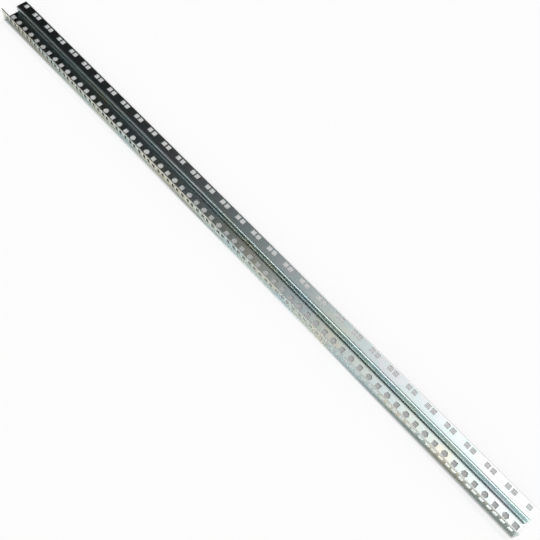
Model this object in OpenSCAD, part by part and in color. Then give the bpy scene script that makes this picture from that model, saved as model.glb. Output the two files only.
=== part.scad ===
// Rack mounting rail: one strip of zinc-plated sheet steel, punched and then folded three times.
// It lies on its web. The front wall stands up on one side of the web, and on the other side
// a low step carries the flange. X runs along the rail, Y from the front wall to the flange.

/* [Rail] */
// Number of rack units that the rail spans
rack_units = 32; // [4:1:47]
// Bare length past the first and the last unit line
end_margin = 7.8; // [6:0.1:20]

/* [Sheet] */
// Thickness of the sheet
sheet = 2; // [1:0.1:2.5]
// Inside radius of the three bends
bend_inside = 1.5; // [0.5:0.1:3]

/* [Section] */
// Width of the web, over the outer faces of the front wall and the step
web_width = 36; // [26:0.5:60]
// Height of the front wall, from the underside of the web to the free edge
front_height = 30; // [24:0.5:60]
// Rise from the underside of the web to the underside of the flange
step_rise = 15; // [10:0.5:30]
// Width of the flange, from the channel face of the step to the free edge
flange_width = 25; // [20:0.5:60]

/* [Holes] */
// Height of one rack unit
unit_pitch = 44.45; // [42:0.05:50]
// Distance from a unit line to the nearest hole in the front wall and the flange
unit_inset = 6.35; // [6:0.05:8]
// Side of the square holes, which take cage nuts
square_side = 9.5; // [7:0.1:10.5]
// Width across the flats of the hexagon holes, which take rivet nuts
hexagon_flats = 11.1; // [7:0.1:13]
// Distance from the free edge of the front wall to its row of holes
front_row_inset = 10; // [7:0.1:14]
// Distance from the free edge of the flange to its row of holes
flange_row_inset = 7.3; // [6:0.1:12]
// Length added toward mid-rail to the first and the last hole of the web
end_hole_extra = 2; // [0:0.1:5]

/* [Hidden] */
$fn = 64;

bend_outside = bend_inside + sheet;
rail_length = rack_units * unit_pitch + 2 * end_margin;
rail_width = web_width - sheet + flange_width;
flange_top = step_rise + sheet;

// Places across the rail, with Y = 0 midway between the front wall and the flange's free edge
front_face_y = -rail_width / 2;
step_back_y = front_face_y + web_width;
step_face_y = step_back_y - sheet;
flange_edge_y = rail_width / 2;

// Rows of holes
web_row_y = front_face_y + web_width / 2;
flange_row_y = flange_edge_y - flange_row_inset;
front_row_z = front_height - front_row_inset;

// How far a punch reaches past each face of the sheet
punch_past = 1;
punch_depth = sheet + 2 * punch_past;

// Distance along the rail of a unit line, from 0 at the far end to rack_units at the near end
function unit_line_x(line) = (line - rack_units / 2) * unit_pitch;

// A flat stretch of the section, by its lower left corner and its size
module flat_strip(corner, size) {
    translate(corner)
        square(size);
}

// A quarter ring that joins two flat stretches, turned by quarter turns about its centre
module bend(centre, quarter_turns) {
    translate(centre)
        rotate(90 * quarter_turns)
            intersection() {
                difference() {
                    circle(bend_outside);
                    circle(bend_inside);
                }
                square(bend_outside);
            }
}

// The folded section: across the rail in x, upward in y
module section() {
    flat_strip([front_face_y, bend_outside], [sheet, front_height - bend_outside]);
    bend([front_face_y + bend_outside, bend_outside], 2);
    flat_strip([front_face_y + bend_outside, 0], [web_width - 2 * bend_outside, sheet]);
    bend([step_back_y - bend_outside, bend_outside], 3);
    flat_strip([step_face_y, bend_outside], [sheet, flange_top - 2 * bend_outside]);
    bend([step_face_y + bend_outside, flange_top - bend_outside], 1);
    flat_strip([step_face_y + bend_outside, step_rise], [flange_width - bend_outside, sheet]);
}

// A rectangular punch that goes down through a level sheet whose underside is at the given place
module level_punch(place, size_x) {
    translate(place + [0, 0, -punch_past])
        linear_extrude(punch_depth)
            square([size_x, square_side], center = true);
}

// Square holes at the unit lines and hexagon holes midway between them, along the web
module web_holes() {
    for (line = [1 : rack_units - 1])
        level_punch([unit_line_x(line), web_row_y, 0], square_side);
    for (end = [-1, 1])
        level_punch([end * (rail_length / 2 - end_margin - end_hole_extra / 2), web_row_y, 0],
                    square_side + end_hole_extra);
    for (line = [0 : rack_units - 1])
        translate([unit_line_x(line + 0.5), web_row_y, -punch_past])
            cylinder(h = punch_depth, d = hexagon_flats / cos(30), $fn = 6);
}

// A pair of square holes about each unit line, along the flange
module flange_holes() {
    for (line = [0 : rack_units - 1])
        for (along = [unit_inset, unit_pitch - unit_inset])
            level_punch([unit_line_x(line) + along, flange_row_y, step_rise], square_side);
}

// Three square holes in each rack unit, along the front wall
module front_holes() {
    for (line = [0 : rack_units - 1])
        for (along = [unit_inset, unit_pitch / 2, unit_pitch - unit_inset])
            translate([unit_line_x(line) + along - square_side / 2,
                       front_face_y - punch_past,
                       front_row_z - square_side / 2])
                cube([square_side, punch_depth, square_side]);
}

module rack_rail() {
    color("silver")
        difference() {
            translate([-rail_length / 2, 0, 0])
                rotate([90, 0, 90])
                    linear_extrude(rail_length)
                        section();
            web_holes();
            flange_holes();
            front_holes();
        }
}

rack_rail();
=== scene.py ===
# %% [markdown]
# # A rack mounting rail
#
# The object is one long strip of zinc-plated sheet steel, the kind that equipment is bolted to
# inside a cabinet. A press punches its rows of holes while the sheet is flat, a folding machine
# then bends it three times, and the finished rail is plated. The lesson goes in the same order:
# score and punch a flat sheet, fold it, give it its thickness, break its sharp edges, and finish it
# with zinc.
#
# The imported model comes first. It is the fixed frame, in metres, so the rail's length, width and
# height are read from it instead of being written a second time.

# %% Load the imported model
import math

import bmesh
import bpy
from mathutils import Matrix, Quaternion, Vector


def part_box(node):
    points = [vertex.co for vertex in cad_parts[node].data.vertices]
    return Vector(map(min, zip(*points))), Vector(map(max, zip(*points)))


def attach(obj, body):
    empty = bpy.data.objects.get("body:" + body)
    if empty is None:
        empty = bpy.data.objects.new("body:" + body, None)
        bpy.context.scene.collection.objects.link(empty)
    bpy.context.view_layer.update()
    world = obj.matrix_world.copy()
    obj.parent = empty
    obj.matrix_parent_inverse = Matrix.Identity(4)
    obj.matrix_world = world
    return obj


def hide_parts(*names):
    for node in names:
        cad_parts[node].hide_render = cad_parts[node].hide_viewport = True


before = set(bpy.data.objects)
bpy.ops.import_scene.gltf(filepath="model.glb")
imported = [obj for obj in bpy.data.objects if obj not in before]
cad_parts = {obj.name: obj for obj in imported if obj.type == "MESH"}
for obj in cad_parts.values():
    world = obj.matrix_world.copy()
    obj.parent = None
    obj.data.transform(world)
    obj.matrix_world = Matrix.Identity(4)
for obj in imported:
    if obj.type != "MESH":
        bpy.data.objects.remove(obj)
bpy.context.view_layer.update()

MM = 0.001
low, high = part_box("rack_rail")
rail_length, rail_width, front_height = high - low
print("rail in millimetres:", [round(side / MM, 2) for side in high - low])

# %% [markdown]
# ## The camera
#
# The photograph looks down on the rail from above its near end, and the camera is turned a little
# about its own line of sight. A camera could be aimed with a Track To constraint, but a constraint
# can't add that small turn, so its rotation is worked out: first aim, then roll.

# %% Place the camera
CAMERA_PLACE = Vector((521.55, -506.71, 1213.68)) * MM
CAMERA_AIM = Vector((110.52, -1.07, 0.0)) * MM
CAMERA_ROLL = math.radians(9.668)
CAMERA_SENSOR = 36
CAMERA_LENS = 49.43
CAMERA_NEAR = 50 * MM

camera = bpy.data.objects.new("camera", bpy.data.cameras.new("camera"))
camera.data.sensor_width = CAMERA_SENSOR
camera.data.lens = CAMERA_LENS
camera.data.clip_start = CAMERA_NEAR
camera.location = CAMERA_PLACE
camera.rotation_mode = "QUATERNION"
aimed = (CAMERA_AIM - CAMERA_PLACE).to_track_quat("-Z", "Y")
camera.rotation_quaternion = aimed @ Quaternion((0, 0, 1), CAMERA_ROLL)
bpy.context.scene.collection.objects.link(camera)
bpy.context.scene.camera = camera
print("camera to rail:", round((CAMERA_AIM - CAMERA_PLACE).length, 3), "m")

# %% [markdown]
# ## The sheet before it is folded
#
# The rail's section has four flat stretches: the front wall, the web that lies on the floor, the
# step, and the flange. Modelled on the upper face of the sheet and rolled out flat, they lie side
# by side with three narrow bands between them, which become the bends.
#
# A bend is drawn as a few narrow strips, so each band is as wide as its strips together. Two of the
# bends have their hollow side up and take the inside radius. The bend at the flange has its round
# side up and takes the outside one.

# %% Roll the section out flat
SHEET = 2 * MM
BEND_INSIDE = 1.5 * MM
BEND_ANGLE = math.radians(90)
BEND_STRIPS = 8
WEB_WIDTH = 36 * MM
FLANGE_TOP = 17 * MM

bend_outside = BEND_INSIDE + SHEET
bend_turn = BEND_ANGLE / BEND_STRIPS
inside_strip = 2 * BEND_INSIDE * math.sin(bend_turn / 2)
outside_strip = 2 * bend_outside * math.sin(bend_turn / 2)
flange_width = rail_width - WEB_WIDTH + SHEET

web_half = WEB_WIDTH / 2 - bend_outside
front_foot = -web_half - BEND_STRIPS * inside_strip
front_edge = front_foot - (front_height - bend_outside)
step_foot = web_half + BEND_STRIPS * inside_strip
step_head = step_foot + FLANGE_TOP - 2 * bend_outside
flange_root = step_head + BEND_STRIPS * outside_strip
flange_edge = flange_root + flange_width - bend_outside
print("upper face, rolled out:", round((flange_edge - front_edge) / MM, 2), "mm wide")

# %% [markdown]
# ## One rack unit
#
# The holes repeat every rack unit, so only one unit of sheet is laid out, and copies of it make the
# strip. Holes could be cut with a Boolean, but that leaves long slivers round 225 holes. Scoring
# the sheet along the edges of the holes and knocking the pieces out keeps every face flat and tidy.
#
# Each line is scored only inside a window of the sheet. That way the lines of one row of holes stay
# out of the next row, and the bends stay plain strips.

# %% Lay out one unit of sheet
UNIT = 44.45 * MM
RACK_UNITS = 32
TINY = 0.001 * MM

sheet = bmesh.new()
bmesh.ops.create_grid(sheet, x_segments=1, y_segments=1, size=0.5)
bmesh.ops.scale(sheet, vec=(UNIT, flange_edge - front_edge, 1), verts=sheet.verts)
sheet_middle = (UNIT / 2, (front_edge + flange_edge) / 2, SHEET)
bmesh.ops.translate(sheet, vec=sheet_middle, verts=sheet.verts)


def faces_in(along, across):
    """The faces of the sheet whose middle is in a window, given along the rail and across it."""
    middles = [(face, face.calc_center_median()) for face in sheet.faces]
    return [face for face, at in middles
            if along[0] < at.x < along[1] and across[0] < at.y < across[1]]


def score(direction, places, along=(0, UNIT), across=(front_edge, flange_edge)):
    """Cut the faces in a window along lines that are square to a direction."""
    for place in places:
        faces = faces_in(along, across)
        edges = [edge for edge in sheet.edges if any(face in faces for face in edge.link_faces)]
        bmesh.ops.bisect_plane(sheet, geom=faces + edges, dist=TINY,
                               plane_co=Vector(direction) * place, plane_no=direction)


ALONG, ACROSS = (1, 0, 0), (0, 1, 0)
step_lines = [web_half + inside_strip * k for k in range(BEND_STRIPS + 1)]
front_lines = [-line for line in step_lines]
flange_lines = [step_head + outside_strip * k for k in range(BEND_STRIPS + 1)]
score(ACROSS, front_lines + step_lines + flange_lines)
print("strips across the sheet:", len(sheet.faces))

# %% [markdown]
# ## Square holes in the front wall and the flange
#
# These holes take cage nuts. The front wall has three in each unit. The flange has only the outer
# two, which come in pairs about each unit line once the units stand in a row.

# %% Punch the front wall and the flange
SQUARE = 9.5 * MM
UNIT_INSET = 6.35 * MM
FRONT_ROW_INSET = 10 * MM
FLANGE_ROW_INSET = 7.3 * MM

front_row = front_edge + FRONT_ROW_INSET
flange_row = flange_edge - FLANGE_ROW_INSET
outer_two = [UNIT_INSET, UNIT - UNIT_INSET]
for row, middles in ((front_row, outer_two + [UNIT / 2]), (flange_row, outer_two)):
    band = (row - SQUARE / 2, row + SQUARE / 2)
    score(ACROSS, band)
    sides = [middle + side for middle in middles for side in (-SQUARE / 2, SQUARE / 2)]
    score(ALONG, sides, across=band)
    for middle in middles:
        punched = faces_in((middle - SQUARE / 2, middle + SQUARE / 2), band)
        bmesh.ops.delete(sheet, geom=punched, context="FACES")
print("faces after the cage-nut holes:", len(sheet.faces))

# %% [markdown]
# ## Holes in the web
#
# The web has a square hole on each unit line, so a unit of sheet has half of one at each end.
# Midway between them is a hexagon for a rivet nut. Its six corners are the only points of the
# scored lines that lie one corner radius from its middle, so they are found by that distance, and
# Connect Verts draws the four slanting sides. The pieces inside it are those whose middles lie well
# within that radius.

# %% Punch the web
HEXAGON_FLATS = 11.1 * MM
WELL_WITHIN = 0.8

hexagon_half = HEXAGON_FLATS / 2
hexagon_corner = hexagon_half / math.cos(math.radians(30))
middle = UNIT / 2
band = (-hexagon_half, hexagon_half)
columns = [middle + hexagon_corner * share for share in (-1, -0.5, 0.5, 1)]
score(ACROSS, band, across=(-web_half, web_half))
score(ALONG, [SQUARE / 2, UNIT - SQUARE / 2] + columns, across=band)
for window in ((columns[0], columns[1]), (columns[2], columns[3])):
    score(ACROSS, [0], window, band)
for window in ((0, SQUARE / 2), (UNIT - SQUARE / 2, UNIT)):
    score(ACROSS, [-SQUARE / 2, SQUARE / 2], window, band)
    punched = faces_in(window, (-SQUARE / 2, SQUARE / 2))
    bmesh.ops.delete(sheet, geom=punched, context="FACES")

centre = Vector((middle, 0, SHEET))
corners = [vert for vert in sheet.verts if abs((vert.co - centre).length - hexagon_corner) < TINY]
bmesh.ops.connect_verts(sheet, verts=corners)
punched = [face for face in sheet.faces
           if (face.calc_center_median() - centre).length < hexagon_corner * WELL_WITHIN]
bmesh.ops.delete(sheet, geom=punched, context="FACES")
print("hexagon corners:", len(corners), "- faces in one unit:", len(sheet.faces))

# %% [markdown]
# ## The whole strip
#
# An Array modifier could repeat the unit, but the two ends still need work on the mesh, so the
# copies are real. Their touching edges are merged.

# %% Repeat the unit
unit_geometry = sheet.verts[:] + sheet.edges[:] + sheet.faces[:]
for unit in range(1, RACK_UNITS):
    copied = bmesh.ops.duplicate(sheet, geom=unit_geometry)["geom"]
    moved = [part for part in copied if isinstance(part, bmesh.types.BMVert)]
    bmesh.ops.translate(sheet, vec=(unit * UNIT, 0, 0), verts=moved)
half_length = RACK_UNITS * UNIT / 2
bmesh.ops.translate(sheet, vec=(-half_length, 0, 0), verts=sheet.verts)
bmesh.ops.remove_doubles(sheet, verts=sheet.verts, dist=TINY)
print("units in a row:", RACK_UNITS, "- faces:", len(sheet.faces))

# %% [markdown]
# Past the last unit line the strip goes on for a few millimetres: its end is pulled out past the
# open half of the last square, that opening is closed with an edge, and the end is pulled out
# again. The last square is a little longer than the others, toward the middle of the rail.

# %% Close the ends
END_HOLE_EXTRA = 2 * MM


def verts_at(x, across=(front_edge, flange_edge)):
    """The vertices on one line across the strip, between two places."""
    return [vert for vert in sheet.verts
            if abs(vert.co.x - x) < TINY and across[0] - TINY < vert.co.y < across[1] + TINY]


def pull_out(edges, x):
    """Extrude edges along the rail as far as x, and give the new edges."""
    made = bmesh.ops.extrude_edge_only(sheet, edges=edges)["geom"]
    for part in made:
        if isinstance(part, bmesh.types.BMVert):
            part.co.x = x
    return [part for part in made if isinstance(part, bmesh.types.BMEdge)
            and all(abs(vert.co.x - x) < TINY for vert in part.verts)]


for end in (-1, 1):
    hole_side = end * (half_length - SQUARE / 2)
    bmesh.ops.translate(sheet, vec=(-end * END_HOLE_EXTRA, 0, 0), verts=verts_at(hole_side, band))
    line = set(verts_at(end * half_length))
    edges = [edge for edge in sheet.edges
             if edge.is_boundary and all(vert in line for vert in edge.verts)]
    hole_end = end * (half_length + SQUARE / 2)
    edges = pull_out(edges, hole_end)
    closing = sheet.edges.new(verts_at(hole_end, (-SQUARE / 2, SQUARE / 2)))
    pull_out(edges + [closing], end * rail_length / 2)
bmesh.ops.recalc_face_normals(sheet, faces=sheet.faces)
if sum(face.normal.z for face in sheet.faces) < 0:
    bmesh.ops.reverse_faces(sheet, faces=sheet.faces)
open_rims = sum(edge.is_boundary for edge in sheet.edges)
print("strip of", len(sheet.faces), "faces with", open_rims, "open edges")

# %% [markdown]
# ## The flat sheet is its own UV map
#
# Rolling marks and plating stains follow the sheet round its bends. So before anything is folded,
# every corner keeps its place on the flat sheet, in metres, as its UV coordinates. There is no
# unwrapping to do later.

# %% Keep the flat places as a UV map
flat_map = sheet.loops.layers.uv.new("flat_sheet")
for face in sheet.faces:
    for corner in face.loops:
        corner[flat_map].uv = corner.vert.co.xy
print("UV map kept for", sum(len(face.loops) for face in sheet.faces), "corners")

# %% [markdown]
# ## Folding
#
# A folding machine turns the sheet about a straight line. Here each bend is nine such turns, one on
# each of its scored lines: the first and the last are half turns, so that the strips start and end
# in line with the flats. The lines are folded from the outside in, because then each one still lies
# flat on the table when its turn comes.

# %% Fold the three bends


def turns(lines, side, lift):
    """The turns of one bend, outermost first: the line's place, the side that moves, the angle."""
    shares = [0.5] + [1] * (BEND_STRIPS - 1) + [0.5]
    return [(line, side, side * lift * bend_turn * share)
            for line, share in zip(reversed(lines), shares)]


folds = turns(flange_lines, 1, -1) + turns(step_lines, 1, 1) + turns(front_lines, -1, 1)
moving = [[vert for vert in sheet.verts if side * (vert.co.y - line) > TINY]
          for line, side, angle in folds]
for verts, (line, side, angle) in zip(moving, folds):
    bmesh.ops.rotate(sheet, cent=(0, line, SHEET), verts=verts,
                     matrix=Matrix.Rotation(angle, 3, "X"))
bmesh.ops.translate(sheet, vec=(0, low.y + WEB_WIDTH / 2, 0), verts=sheet.verts)
print("folded height:", round(max(vert.co.z for vert in sheet.verts) / MM, 3), "mm")

# %% [markdown]
# ## Thickness and broken edges
#
# The folded skin is the upper face of the sheet, so Solidify adds the thickness below it. Punched
# and sheared edges are never razor sharp: the punch draws the rim down a little. A narrow bevel
# gives each rim the thin line of light that makes metal read as metal. The walls of the cuts get
# their own material, because they are rougher than the faces.

# %% Thicken the sheet and break its edges
EDGE_BREAK = 0.2 * MM
EDGE_SEGMENTS = 2
SHARP_ANGLE = math.radians(50)

upper = set(sheet.verts)
bmesh.ops.solidify(sheet, geom=sheet.faces[:], thickness=SHEET)
cut_walls = [face for face in sheet.faces
             if 0 < sum(vert in upper for vert in face.verts) < len(face.verts)]
for face in cut_walls:
    face.material_index = 1
sharp = [edge for edge in sheet.edges if edge.calc_face_angle(0) > SHARP_ANGLE]
bmesh.ops.bevel(sheet, geom=sharp, offset=EDGE_BREAK, offset_type="OFFSET",
                segments=EDGE_SEGMENTS, profile=0.5, affect="EDGES", material=-1)
for face in sheet.faces:
    face.smooth = True
print("cut walls:", len(cut_walls), "- edges broken:", len(sharp), "- faces:", len(sheet.faces))

# %% [markdown]
# The mesh becomes one object. It stands for the CAD solid, which stays hidden and keeps its job in
# the physics. A Weighted Normal modifier lets the big flat faces decide the shading, so only bends
# and rims look round.

# %% Make the rail's object
FLAT_FACES_LEAD = 100

rail = bpy.data.objects.new("rail", bpy.data.meshes.new("rail"))
sheet.to_mesh(rail.data)
sheet.free()
bpy.context.scene.collection.objects.link(rail)
weighted = rail.modifiers.new("flat faces lead", "WEIGHTED_NORMAL")
weighted.weight = FLAT_FACES_LEAD
weighted.keep_sharp = True
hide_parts("rack_rail")
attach(rail, "root")
rail.data.calc_loop_triangles()
print("rail has", len(rail.data.loop_triangles), "triangles")

# %% [markdown]
# ## Zinc-plated steel
#
# The finish is bright zinc with a clear passivation. Zinc itself is a bluish white metal, and the
# passivation film is so thin that it tints the light: pale blue, straw and lilac clouds a few
# centimetres wide. The rolled steel under it has fine lines along the strip and is never quite
# flat, so reflections waver.
#
# Colours are written as on a screen and nodes are added by the dozen, so each gets a small helper.

# %% A helper for colours and one for nodes


def linear(hexadecimal):
    """An sRGB colour such as '#C0FFEE' as the linear RGBA that Blender's sockets take."""
    parts = [int(hexadecimal[place:place + 2], 16) / 255 for place in (1, 3, 5)]
    return [part / 12.92 if part <= 0.04045 else ((part + 0.055) / 1.055) ** 2.4
            for part in parts] + [1]


def add_node(tree, kind, sockets=None, **settings):
    """Add a node, set its properties, and fill each input socket with a value or a link."""
    node = tree.nodes.new(kind)
    for name, value in settings.items():
        setattr(node, name, value)
    for name, value in (sockets or {}).items():
        if isinstance(value, bpy.types.NodeSocket):
            tree.links.new(value, node.inputs[name])
        else:
            node.inputs[name].default_value = value
    return node


print("middle grey is", round(linear("#808080")[0], 3), "in linear light")

# %% [markdown]
# The film is a little thicker where the bath ran off, so its tint drifts across the sheet: straw
# and green on the front wall and the web, blue on the flange. One noise on the flat sheet, drawn
# out along the rail as the sheet was rolled, makes the drift cloudy. A noise stays near its middle,
# so it is spread a little wider first. All the tints are pale and close together: the eye should
# notice a change of tint, not spots of paint.

# %% Colour of the passivation film
CLOUD_WIDTH = 60 * MM
CLOUD_LENGTH = 120 * MM
NOISE_LOW, NOISE_HIGH = 0.3, 0.7
CLOUD_LOW, CLOUD_HIGH = 0.18, 0.82
FRONT_DRIFT, FLANGE_DRIFT = -0.3, 0.1
FILM_TINTS = ((0.15, "#E6E0CF"), (0.33, "#D5E0DA"), (0.57, "#CDDDE1"), (0.72, "#DADDE2"))

zinc = bpy.data.materials.new("bright_zinc_plate")
zinc.use_nodes = True
rail.data.materials.append(zinc)
tree = zinc.node_tree
shader = tree.nodes["Principled BSDF"]
shader.inputs["Metallic"].default_value = 1
flat_place = add_node(tree, "ShaderNodeUVMap", uv_map="flat_sheet").outputs["UV"]
flat_y = add_node(tree, "ShaderNodeSeparateXYZ", {"Vector": flat_place}).outputs["Y"]
drawn_out = add_node(tree, "ShaderNodeMapping", {
    "Vector": flat_place, "Scale": (CLOUD_WIDTH / CLOUD_LENGTH, 1, 1)}).outputs["Vector"]
clouds = add_node(tree, "ShaderNodeTexNoise", {
    "Vector": drawn_out, "Scale": 1 / CLOUD_WIDTH, "Detail": 4, "Roughness": 0.55,
    "Distortion": 0.4}).outputs["Fac"]
spread = add_node(tree, "ShaderNodeMapRange", {
    "Value": clouds, "From Min": NOISE_LOW, "From Max": NOISE_HIGH,
    "To Min": CLOUD_LOW, "To Max": CLOUD_HIGH}).outputs["Result"]
drift = add_node(tree, "ShaderNodeMapRange", {
    "Value": flat_y, "From Min": front_edge, "From Max": flange_edge,
    "To Min": FRONT_DRIFT, "To Max": FLANGE_DRIFT}).outputs["Result"]
cloudy_drift = add_node(tree, "ShaderNodeMath", {0: spread, 1: drift},
                        operation="ADD").outputs["Value"]
film = add_node(tree, "ShaderNodeValToRGB", {"Fac": cloudy_drift})
while len(film.color_ramp.elements) < len(FILM_TINTS):
    film.color_ramp.elements.new(0.5)
for stop, (place, tint) in zip(film.color_ramp.elements, FILM_TINTS):
    stop.position = place
    stop.color = linear(tint)
tree.links.new(film.outputs["Color"], shader.inputs["Base Color"])
print("film tints:", [tint for place, tint in FILM_TINTS])

# %% [markdown]
# Bright zinc is levelled in the bath but not polished, so its gloss varies in fine streaks along
# the rolling direction. The real lines are about 0.1 mm apart, too fine for any render, so they are
# drawn at 0.8 mm. Folding stretches the plating, so the three bends are duller than the flats.

# %% Gloss of the flats and the bends
ROLLING_LINE = 0.8 * MM
ROLLING_LENGTH = 60 * MM
GLOSSIEST, LEAST_GLOSSY = 0.2, 0.225
BEND_ROUGHNESS = 0.36
BEND_FADE = 1 * MM

stretched = add_node(tree, "ShaderNodeMapping", {
    "Vector": flat_place, "Scale": (ROLLING_LINE / ROLLING_LENGTH, 1, 1)}).outputs["Vector"]
lines = add_node(tree, "ShaderNodeTexNoise", {
    "Vector": stretched, "Scale": 1 / ROLLING_LINE, "Detail": 2}).outputs["Fac"]
gloss = add_node(tree, "ShaderNodeMapRange", {
    "Value": lines, "From Min": NOISE_LOW, "From Max": NOISE_HIGH,
    "To Min": GLOSSIEST, "To Max": LEAST_GLOSSY}).outputs["Result"]
on_bends = 0
for fold_lines in (front_lines, step_lines, flange_lines):
    middle = (fold_lines[0] + fold_lines[-1]) / 2
    half = abs(fold_lines[0] - fold_lines[-1]) / 2
    off_bend = add_node(tree, "ShaderNodeMath", {0: flat_y, 1: middle},
                        operation="SUBTRACT").outputs["Value"]
    off_bend = add_node(tree, "ShaderNodeMath", {0: off_bend},
                        operation="ABSOLUTE").outputs["Value"]
    on_bend = add_node(tree, "ShaderNodeMapRange", {
        "Value": off_bend, "From Min": half + BEND_FADE, "From Max": half}).outputs["Result"]
    on_bends = add_node(tree, "ShaderNodeMath", {0: on_bends, 1: on_bend},
                        operation="MAXIMUM").outputs["Value"]
roughness = add_node(tree, "ShaderNodeMix", {
    "Factor": on_bends, "A": gloss, "B": BEND_ROUGHNESS}).outputs["Result"]
tree.links.new(roughness, shader.inputs["Roughness"])
print("rolling lines every", ROLLING_LINE / MM, "mm")

# %% [markdown]
# The sheet is never quite flat, so long shallow waves make the reflections waver a little, and the
# rolling lines add a fine grain.
#
# A fold springs back a little when the press lets go, and the photograph's step seems to lean by a
# few degrees. That is too little to see as a shape, but a mirror doubles it: the step shows the
# room ahead, and the web at its foot shows the dark overhead. The mesh stays square, and the lean
# is drawn as a slope in the step's bump. Three Bump nodes in a row add the three together.

# %% Waves, rolling lines and the lean of the step
SHEET_WAVE = 110 * MM
WAVE_HEIGHT = 0.008 * MM
LINE_HEIGHT = 0.001 * MM
SPRING_BACK = math.radians(5)

lean_height = (step_head - step_foot) * math.tan(SPRING_BACK)
waves = add_node(tree, "ShaderNodeTexNoise", {
    "Vector": flat_place, "Scale": 1 / SHEET_WAVE, "Detail": 1}).outputs["Fac"]
slope = add_node(tree, "ShaderNodeMapRange", {
    "Value": flat_y, "From Min": step_foot, "From Max": step_head,
    "To Min": 1, "To Max": 0}).outputs["Result"]
relief = {}
for shape, tall in ((waves, WAVE_HEIGHT), (slope, lean_height), (lines, LINE_HEIGHT)):
    bump = add_node(tree, "ShaderNodeBump", {
        "Height": shape, "Strength": 1, "Distance": tall, **relief})
    relief = {"Normal": bump.outputs["Normal"]}
tree.links.new(relief["Normal"], shader.inputs["Normal"])
print("the step's lean, drawn only:", round(lean_height / MM, 2), "mm over its height")

# %% [markdown]
# Most of the gloss is crisp, and the fine crystals of the plating spread the rest into a haze. A
# Principled shader has one roughness, so two are mixed: the crisp one so far, and a hazy one.

# %% Haze
HAZE_SHARE = 0.3
HAZE_ROUGHNESS = 0.285

hazy = add_node(tree, "ShaderNodeBsdfPrincipled", {
    "Base Color": film.outputs["Color"], "Metallic": 1, "Roughness": HAZE_ROUGHNESS, **relief})
plated = add_node(tree, "ShaderNodeMixShader", {
    "Fac": HAZE_SHARE, 1: shader.outputs["BSDF"], 2: hazy.outputs["BSDF"]})
tree.links.new(plated.outputs["Shader"], tree.nodes["Material Output"].inputs["Surface"])
print("hazy share of the gloss:", HAZE_SHARE)

# %% [markdown]
# ## The cut edges
#
# A punch shears through the upper part of the sheet and tears the rest, so the walls of the holes
# are streaked from face to face and duller than the sheet. The rail is plated last, so they are
# zinc too, and those that look up are nearly as bright as the web.
#
# The streaks need no mapping of their own: the flat places of a wall change only along its rim, so
# any noise on them is drawn out over the thickness. Real streaks are about 0.1 mm wide and are
# drawn at 0.6 mm.

# %% Make the cut edges
SHEAR_STREAK = 0.6 * MM
TORN_COLOUR, SHEARED_COLOUR = "#B4BABA", "#DDE2E2"
TORN_ROUGHNESS, SHEARED_ROUGHNESS = 0.4, 0.28

cut = bpy.data.materials.new("sheared_steel_edge")
cut.use_nodes = True
rail.data.materials.append(cut)
tree = cut.node_tree
cut_shader = tree.nodes["Principled BSDF"]
cut_shader.inputs["Metallic"].default_value = 1
flat_place = add_node(tree, "ShaderNodeUVMap", uv_map="flat_sheet").outputs["UV"]
streaks = add_node(tree, "ShaderNodeTexNoise", {
    "Vector": flat_place, "Scale": 1 / SHEAR_STREAK, "Detail": 2}).outputs["Fac"]
torn = add_node(tree, "ShaderNodeMix", {
    "Factor": streaks, "A": linear(TORN_COLOUR), "B": linear(SHEARED_COLOUR)},
    data_type="RGBA").outputs["Result"]
dull = add_node(tree, "ShaderNodeMapRange", {
    "Value": streaks, "To Min": TORN_ROUGHNESS, "To Max": SHEARED_ROUGHNESS}).outputs["Result"]
tree.links.new(torn, cut_shader.inputs["Base Color"])
tree.links.new(dull, cut_shader.inputs["Roughness"])
print("materials:", [material.name for material in rail.data.materials])

# %% [markdown]
# ## The floor
#
# The rail lies on white paper, a plain square that is large enough to fill every view.

# %% Lay the floor
FLOOR_SIZE = 12.0
PAPER_ROUGHNESS = 0.9

plane = bmesh.new()
bmesh.ops.create_grid(plane, x_segments=1, y_segments=1, size=FLOOR_SIZE / 2)
floor = bpy.data.objects.new("floor", bpy.data.meshes.new("floor"))
plane.to_mesh(floor.data)
plane.free()
bpy.context.scene.collection.objects.link(floor)
paper = bpy.data.materials.new("white_paper")
paper.use_nodes = True
floor.data.materials.append(paper)
tree = paper.node_tree
paper_shader = tree.nodes["Principled BSDF"]
paper_shader.inputs["Roughness"].default_value = PAPER_ROUGHNESS
paper_shader.inputs["Specular IOR Level"].default_value = 0
print("floor is", FLOOR_SIZE, "m square")

# %% [markdown]
# Bare paper this bright would glare through every hole, but the rail keeps the light off the paper
# below it. A soft-edged strip of shade draws that. It reaches a little past the flange, because the
# camera looks in under it at a slant, and past the far end, where the flange hides it. Toward both
# ends it also leans out in front of the wall, which mirrors darker paper there.
#
# The strip is where three soft edges overlap: in front of the wall, past the flange, and at the
# ends. Distances from a middle line are used more than once, so a loop makes them first.

# %% Outline the shade under the rail
SHADE_SOFT = 3 * MM
SHADE_PAST = 7 * MM
SHADE_FAR = 15 * MM
SHADE_FRONT = 14 * MM
CLEAR_MIDDLE, CLEAR_HALF, CLEAR_FADE = 150 * MM, 100 * MM, 450 * MM
GLOW_MIDDLE = -350 * MM

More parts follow.
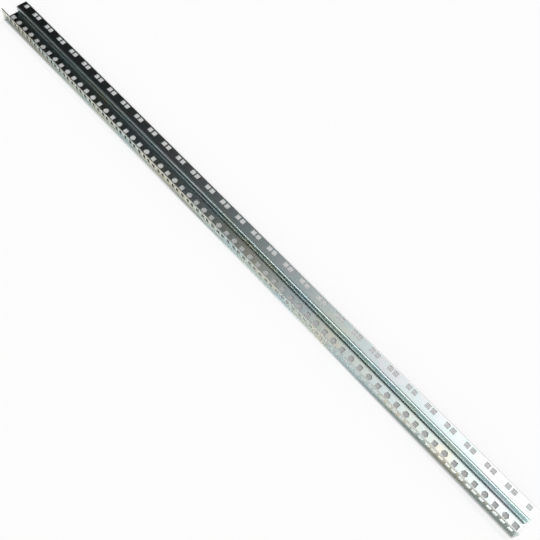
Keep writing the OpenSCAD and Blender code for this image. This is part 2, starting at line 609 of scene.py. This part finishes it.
shade_middle = (low.y + high.y + SHADE_PAST) / 2
shade_half = (rail_width + SHADE_PAST) / 2
step_back = low.y + WEB_WIDTH
place = add_node(tree, "ShaderNodeSeparateXYZ", {
    "Vector": add_node(tree, "ShaderNodeTexCoord").outputs["Object"]}).outputs
off = {}
for name, value, middle in (("shade", place["Y"], shade_middle),
                            ("clear", place["X"], CLEAR_MIDDLE),
                            ("glow", place["X"], GLOW_MIDDLE)):
    offset = add_node(tree, "ShaderNodeMath", {0: value, 1: middle},
                      operation="SUBTRACT").outputs["Value"]
    off[name] = add_node(tree, "ShaderNodeMath", {0: offset},
                         operation="ABSOLUTE").outputs["Value"]
past_end = add_node(tree, "ShaderNodeMapRange", {
    "Value": place["Y"], "From Min": step_back, "From Max": step_back + SHADE_SOFT,
    "To Max": -SHADE_FAR}).outputs["Result"]
farther = add_node(tree, "ShaderNodeMath", {0: place["X"], 1: -1, 2: past_end},
                   operation="MULTIPLY_ADD").outputs["Value"]
off["ends"] = add_node(tree, "ShaderNodeMath", {0: place["X"], 1: farther},
                       operation="MAXIMUM").outputs["Value"]
ahead = add_node(tree, "ShaderNodeMapRange", {
    "Value": off["clear"], "From Min": CLEAR_HALF, "From Max": CLEAR_HALF + CLEAR_FADE,
    "To Max": SHADE_FRONT}).outputs["Result"]
leaning = add_node(tree, "ShaderNodeMath", {0: place["Y"], 1: ahead},
                   operation="ADD").outputs["Value"]
under = 1
for value, clear, shaded in (
        (leaning, low.y, low.y + SHADE_SOFT),
        (place["Y"], high.y + SHADE_PAST, high.y + SHADE_PAST - SHADE_SOFT),
        (off["ends"], rail_length / 2, rail_length / 2 - SHADE_SOFT)):
    edge = add_node(tree, "ShaderNodeMapRange", {
        "Value": value, "From Min": clear, "From Max": shaded}).outputs["Result"]
    under = add_node(tree, "ShaderNodeMath", {0: under, 1: edge},
                     operation="MULTIPLY").outputs["Value"]
print("strip of shade:", round(2 * shade_half / MM, 1), "mm wide")

# %% [markdown]
# In the shade the paper looks greyer: more under the web, which lies on it, and less under the
# flange, which stands clear. Under the far third of the web the photograph's paper is lit more than
# elsewhere.

# %% Colour the paper
OPEN_PAPER = "#F6F6F6"
DARK_SHADE, PALE_SHADE = "#ADB0B0", "#DADDDD"
GLOW_HALF, GLOW_FADE = 130 * MM, 140 * MM

# The greys below are painted shade, and the paler paper under the far third of the web is painted
# light.
lifted = add_node(tree, "ShaderNodeMapRange", {
    "Value": place["Y"], "From Min": low.y + WEB_WIDTH / 2, "From Max": high.y}).outputs["Result"]
glowing = add_node(tree, "ShaderNodeMapRange", {
    "Value": off["glow"], "From Min": GLOW_HALF + GLOW_FADE,
    "From Max": GLOW_HALF}).outputs["Result"]
lit = add_node(tree, "ShaderNodeMath", {0: lifted, 1: glowing},
               operation="MAXIMUM").outputs["Value"]
shade = add_node(tree, "ShaderNodeMix", {
    "Factor": lit, "A": linear(DARK_SHADE), "B": linear(PALE_SHADE)},
    data_type="RGBA").outputs["Result"]
strip = add_node(tree, "ShaderNodeMix", {
    "Factor": under, "A": linear(OPEN_PAPER), "B": shade}, data_type="RGBA").outputs["Result"]
tree.links.new(strip, paper_shader.inputs["Base Color"])
print("paper:", OPEN_PAPER, "in the open,", DARK_SHADE, "to", PALE_SHADE, "in the shade")

# %% [markdown]
# The open paper is white to the camera, and to the metal that mirrors it. A share of plain white
# for those rays does that and adds no light to the room, so Cycles is told not to sample the paper
# as if it were a lamp. The other share is lit paper, so the rail's shadow stays. To the camera the
# white is whole a few millimetres beside the rail and weak in its holes. In reflections it builds
# up over some centimetres, so the front wall mirrors the shaded paper at its foot and not a glare.

# %% Show the open paper as white
WHITE_SHARE = 0.86
SHADED_SHARE = 0.2
CAMERA_REACH = 4 * MM
MIRROR_REACH = 60 * MM

path = add_node(tree, "ShaderNodeLightPath").outputs
mirrored = add_node(tree, "ShaderNodeMath", {
    0: path["Is Glossy Ray"], 1: path["Is Transmission Ray"]}, operation="MAXIMUM").outputs["Value"]
shares = []
for seen, reach, shaded in ((path["Is Camera Ray"], CAMERA_REACH, SHADED_SHARE),
                            (mirrored, MIRROR_REACH, 0)):
    sides = [add_node(tree, "ShaderNodeMapRange", {
        "Value": value, "From Min": edge, "From Max": edge + reach,
        "To Min": shaded, "To Max": WHITE_SHARE}, interpolation_type="SMOOTHSTEP").outputs["Result"]
        for value, edge in ((off["shade"], shade_half), (off["ends"], rail_length / 2))]
    clear = add_node(tree, "ShaderNodeMath", {0: sides[0], 1: sides[1]},
                     operation="MAXIMUM").outputs["Value"]
    shares.append(add_node(tree, "ShaderNodeMath", {0: seen, 1: clear},
                           operation="MULTIPLY").outputs["Value"])
share = add_node(tree, "ShaderNodeMath", {0: shares[0], 1: shares[1]},
                 operation="ADD").outputs["Value"]
white = add_node(tree, "ShaderNodeEmission", {
    "Color": linear("#FFFFFF"), "Strength": 1}).outputs["Emission"]
mixed = add_node(tree, "ShaderNodeMixShader", {
    "Fac": share, 1: paper_shader.outputs["BSDF"], 2: white}).outputs["Shader"]
tree.links.new(mixed, tree.nodes["Material Output"].inputs["Surface"])
paper.cycles.emission_sampling = "NONE"
print("plain white share of the open paper:", WHITE_SHARE)

# %% [markdown]
# ## The room
#
# Metal has little colour of its own: it shows the room. The photograph's rail runs from white at
# the near end to nearly black at the far end, so its room is bright beside the rail and dark
# overhead and past the far end. Two soft walls light it, a tall one on the flange's side and a
# lower one on the front wall's side, in a pale room that is open toward the far end. A dim ceiling
# over the front wall lights the step and stops short of the dark overhead. To the camera itself the
# room is plain white.
#
# Area lamps could stand for the walls, but their hard edges would draw hard lines in the gloss. So
# the walls are painted on the world. Each has a brightness and some soft edges, and an edge runs
# from the place where the wall is dark to the place where it is full. Edges across the rail and at
# its far and near end are shares of a ray's direction along Y and X, and the top edge is its height
# in degrees.

# %% Paint the walls of the room
SIDE = 0.06
WALLS = {
    "flange side": (2.0, {"across": (-SIDE, SIDE), "far": (-0.46, 0.14), "near": (0.9, 0.6),
                          "top": (78, 66)}),
    "front side": (3.0, {"across": (SIDE, -SIDE), "far": (-0.41, -0.33), "near": (0.32, 0.22),
                         "top": (46, 41)}),
    "pale room": (1.6, {"far": (-0.21, -0.11), "top": (58.5, 50.5)}),
    "front ceiling": (0.75, {"far": (-0.1, 0.3), "across": (0.16, -0.04), "top": (75, 65)}),
}

world = bpy.data.worlds.new("studio")
bpy.context.scene.world = world
world.use_nodes = True
tree = world.node_tree
toward = add_node(tree, "ShaderNodeSeparateXYZ", {
    "Vector": add_node(tree, "ShaderNodeTexCoord").outputs["Generated"]}).outputs
climb = add_node(tree, "ShaderNodeMath", {0: toward["Z"]}, operation="ARCSINE").outputs["Value"]
height = add_node(tree, "ShaderNodeMath", {0: climb}, operation="DEGREES").outputs["Value"]
measures = {"across": toward["Y"], "far": toward["X"], "near": toward["X"], "top": height}
walls = {}
for name, (brightness, edges) in WALLS.items():
    walls[name] = brightness
    for edge, (dark, full) in edges.items():
        fade = add_node(tree, "ShaderNodeMapRange", {
            "Value": measures[edge], "From Min": dark, "From Max": full},
            interpolation_type="SMOOTHSTEP").outputs["Result"]
        walls[name] = add_node(tree, "ShaderNodeMath", {0: walls[name], 1: fade},
                               operation="MULTIPLY", label=name).outputs["Value"]
print("walls of the room:", list(walls))

# %% [markdown]
# The two side walls add up, and of everything else the brightest is what shows. The flange's side
# is a little warmer than the rest. The Standard view transform keeps colours as they are written.

# %% Light the room
COOL, WARM, WHITE = "#F8FDFD", "#FFFAF7", "#FFFFFF"

light = add_node(tree, "ShaderNodeMath", {0: walls["flange side"], 1: walls["front side"]},
                 operation="ADD").outputs["Value"]
for name in ("pale room", "front ceiling"):
    light = add_node(tree, "ShaderNodeMath", {0: light, 1: walls[name]},
                     operation="MAXIMUM").outputs["Value"]
tint = add_node(tree, "ShaderNodeMix", {
    "Factor": walls["flange side"], "A": linear(COOL), "B": linear(WARM)},
    data_type="RGBA").outputs["Result"]
seen = add_node(tree, "ShaderNodeLightPath").outputs["Is Camera Ray"]
colour = add_node(tree, "ShaderNodeMix", {
    "Factor": seen, "A": tint, "B": linear(WHITE)}, data_type="RGBA").outputs["Result"]
strength = add_node(tree, "ShaderNodeMix", {"Factor": seen, "A": light, "B": 1}).outputs["Result"]
tree.links.new(colour, tree.nodes["Background"].inputs["Color"])
tree.links.new(strength, tree.nodes["Background"].inputs["Strength"])
bpy.context.scene.view_settings.view_transform = "Standard"
print("view transform:", bpy.context.scene.view_settings.view_transform)
